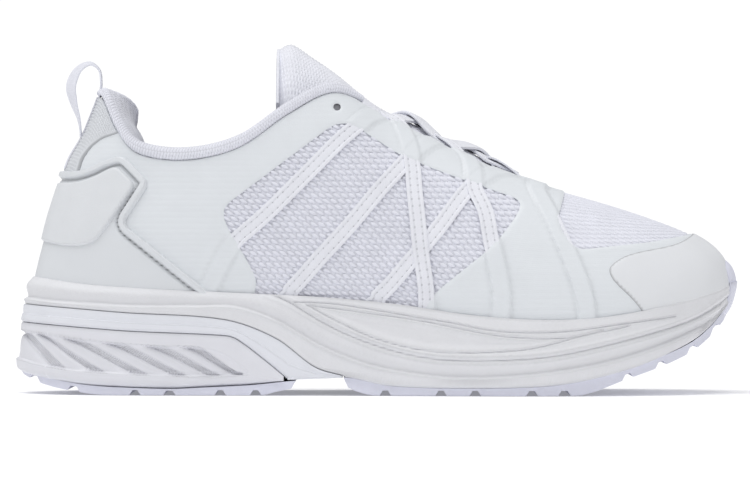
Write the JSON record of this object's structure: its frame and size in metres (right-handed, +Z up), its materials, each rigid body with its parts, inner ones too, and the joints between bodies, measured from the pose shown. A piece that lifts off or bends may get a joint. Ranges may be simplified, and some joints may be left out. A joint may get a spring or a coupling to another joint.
{
  "type": "running shoe",
  "caption": "Low cushioned running shoe for the right foot: foam sole with treaded rubber, knitted upper with film overlays, webbing lace loops, padded collar, tongue and heel pull tab.",
  "frame": {"origin": "on the ground under the middle of the shoe's box", "axes": "+X towards the toe, +Y towards the inner (medial) side, +Z up; the lateral side faces -Y"},
  "size_m": [0.2917, 0.1074, 0.1406],
  "materials": {
    "outsole_rubber": "matte moulded rubber",
    "midsole_foam": "moulded foam skin, fine pebble grain",
    "band_foam": "smooth moulded foam",
    "wedge_foam": "smooth moulded foam",
    "board": "plain board cloth",
    "sockliner_cloth": "brushed top cloth",
    "mesh_knit": "engineered knit",
    "stiffener": "thermoformed sheet",
    "lining": "brushed lining",
    "collar_knit": "terry knit over foam",
    "backtab_weave": "embossed weave",
    "clip_plastic": "satin moulded plastic",
    "film": "thin translucent film",
    "cap_film": "smooth satin film",
    "webbing": "ribbed woven tape with two stitch rows",
    "tab_tape": "woven tape",
    "tongue_knit": "knit over foam",
    "binding_tape": "folded binding tape",
    "lace_weave": "flat braid",
    "aglet_plastic": "clear moulded tip"
  },
  "bodies": {
    "shoe": {"outsole_heel": "outsole_rubber", "outsole_forefoot": "outsole_rubber", "toe_bumper": "outsole_rubber", "midsole_upper_foam": "midsole_foam", "midsole_band": "band_foam", "midsole_heel_wedge": "wedge_foam", "strobel_board": "board", "sockliner": "sockliner_cloth", "upper_mesh": "mesh_knit", "toe_puff": "stiffener", "heel_counter": "stiffener", "heel_lining": "lining", "collar_pad": "collar_knit", "backtab": "backtab_weave", "heel_clip": "clip_plastic", "heel_pad": "clip_plastic", "quarter_film_lateral": "film", "quarter_film_medial": "film", "eyestay_film": "film", "forefoot_film_lateral": "film", "forefoot_film_medial": "film", "toe_cap": "cap_film", "webbing_rear_lateral": "webbing", "webbing_middle_lateral": "webbing", "webbing_front_lateral": "webbing", "webbing_rear_medial": "webbing", "webbing_middle_medial": "webbing", "webbing_front_medial": "webbing", "pull_tab_anchor": "tab_tape", "lace": "lace_weave", "lace_end_lateral": "lace_weave", "lace_end_medial": "lace_weave", "aglet_lateral": "aglet_plastic", "aglet_medial": "aglet_plastic"},
    "tongue": {"tongue": "tongue_knit", "tongue_binding": "binding_tape"},
    "pull_tab": {"pull_tab": "tab_tape"}
  },
  "joints": [
    {"name": "tongue_tilt", "type": "hinge", "parent": "shoe", "child": "tongue", "pos_m": [0.066, 0.0013, 0.0772], "axis": [0, 1, 0], "range_deg": [-12, 0], "stiffness_Nm_per_rad": 0.3, "springref_deg": 5.73},
    {"name": "pull_tab_swing", "type": "hinge", "parent": "shoe", "child": "pull_tab", "pos_m": [-0.122, 0.0005, 0.111], "axis": [0, 1, 0], "range_deg": [-45, 5], "stiffness_Nm_per_rad": 0.005}
  ]
}
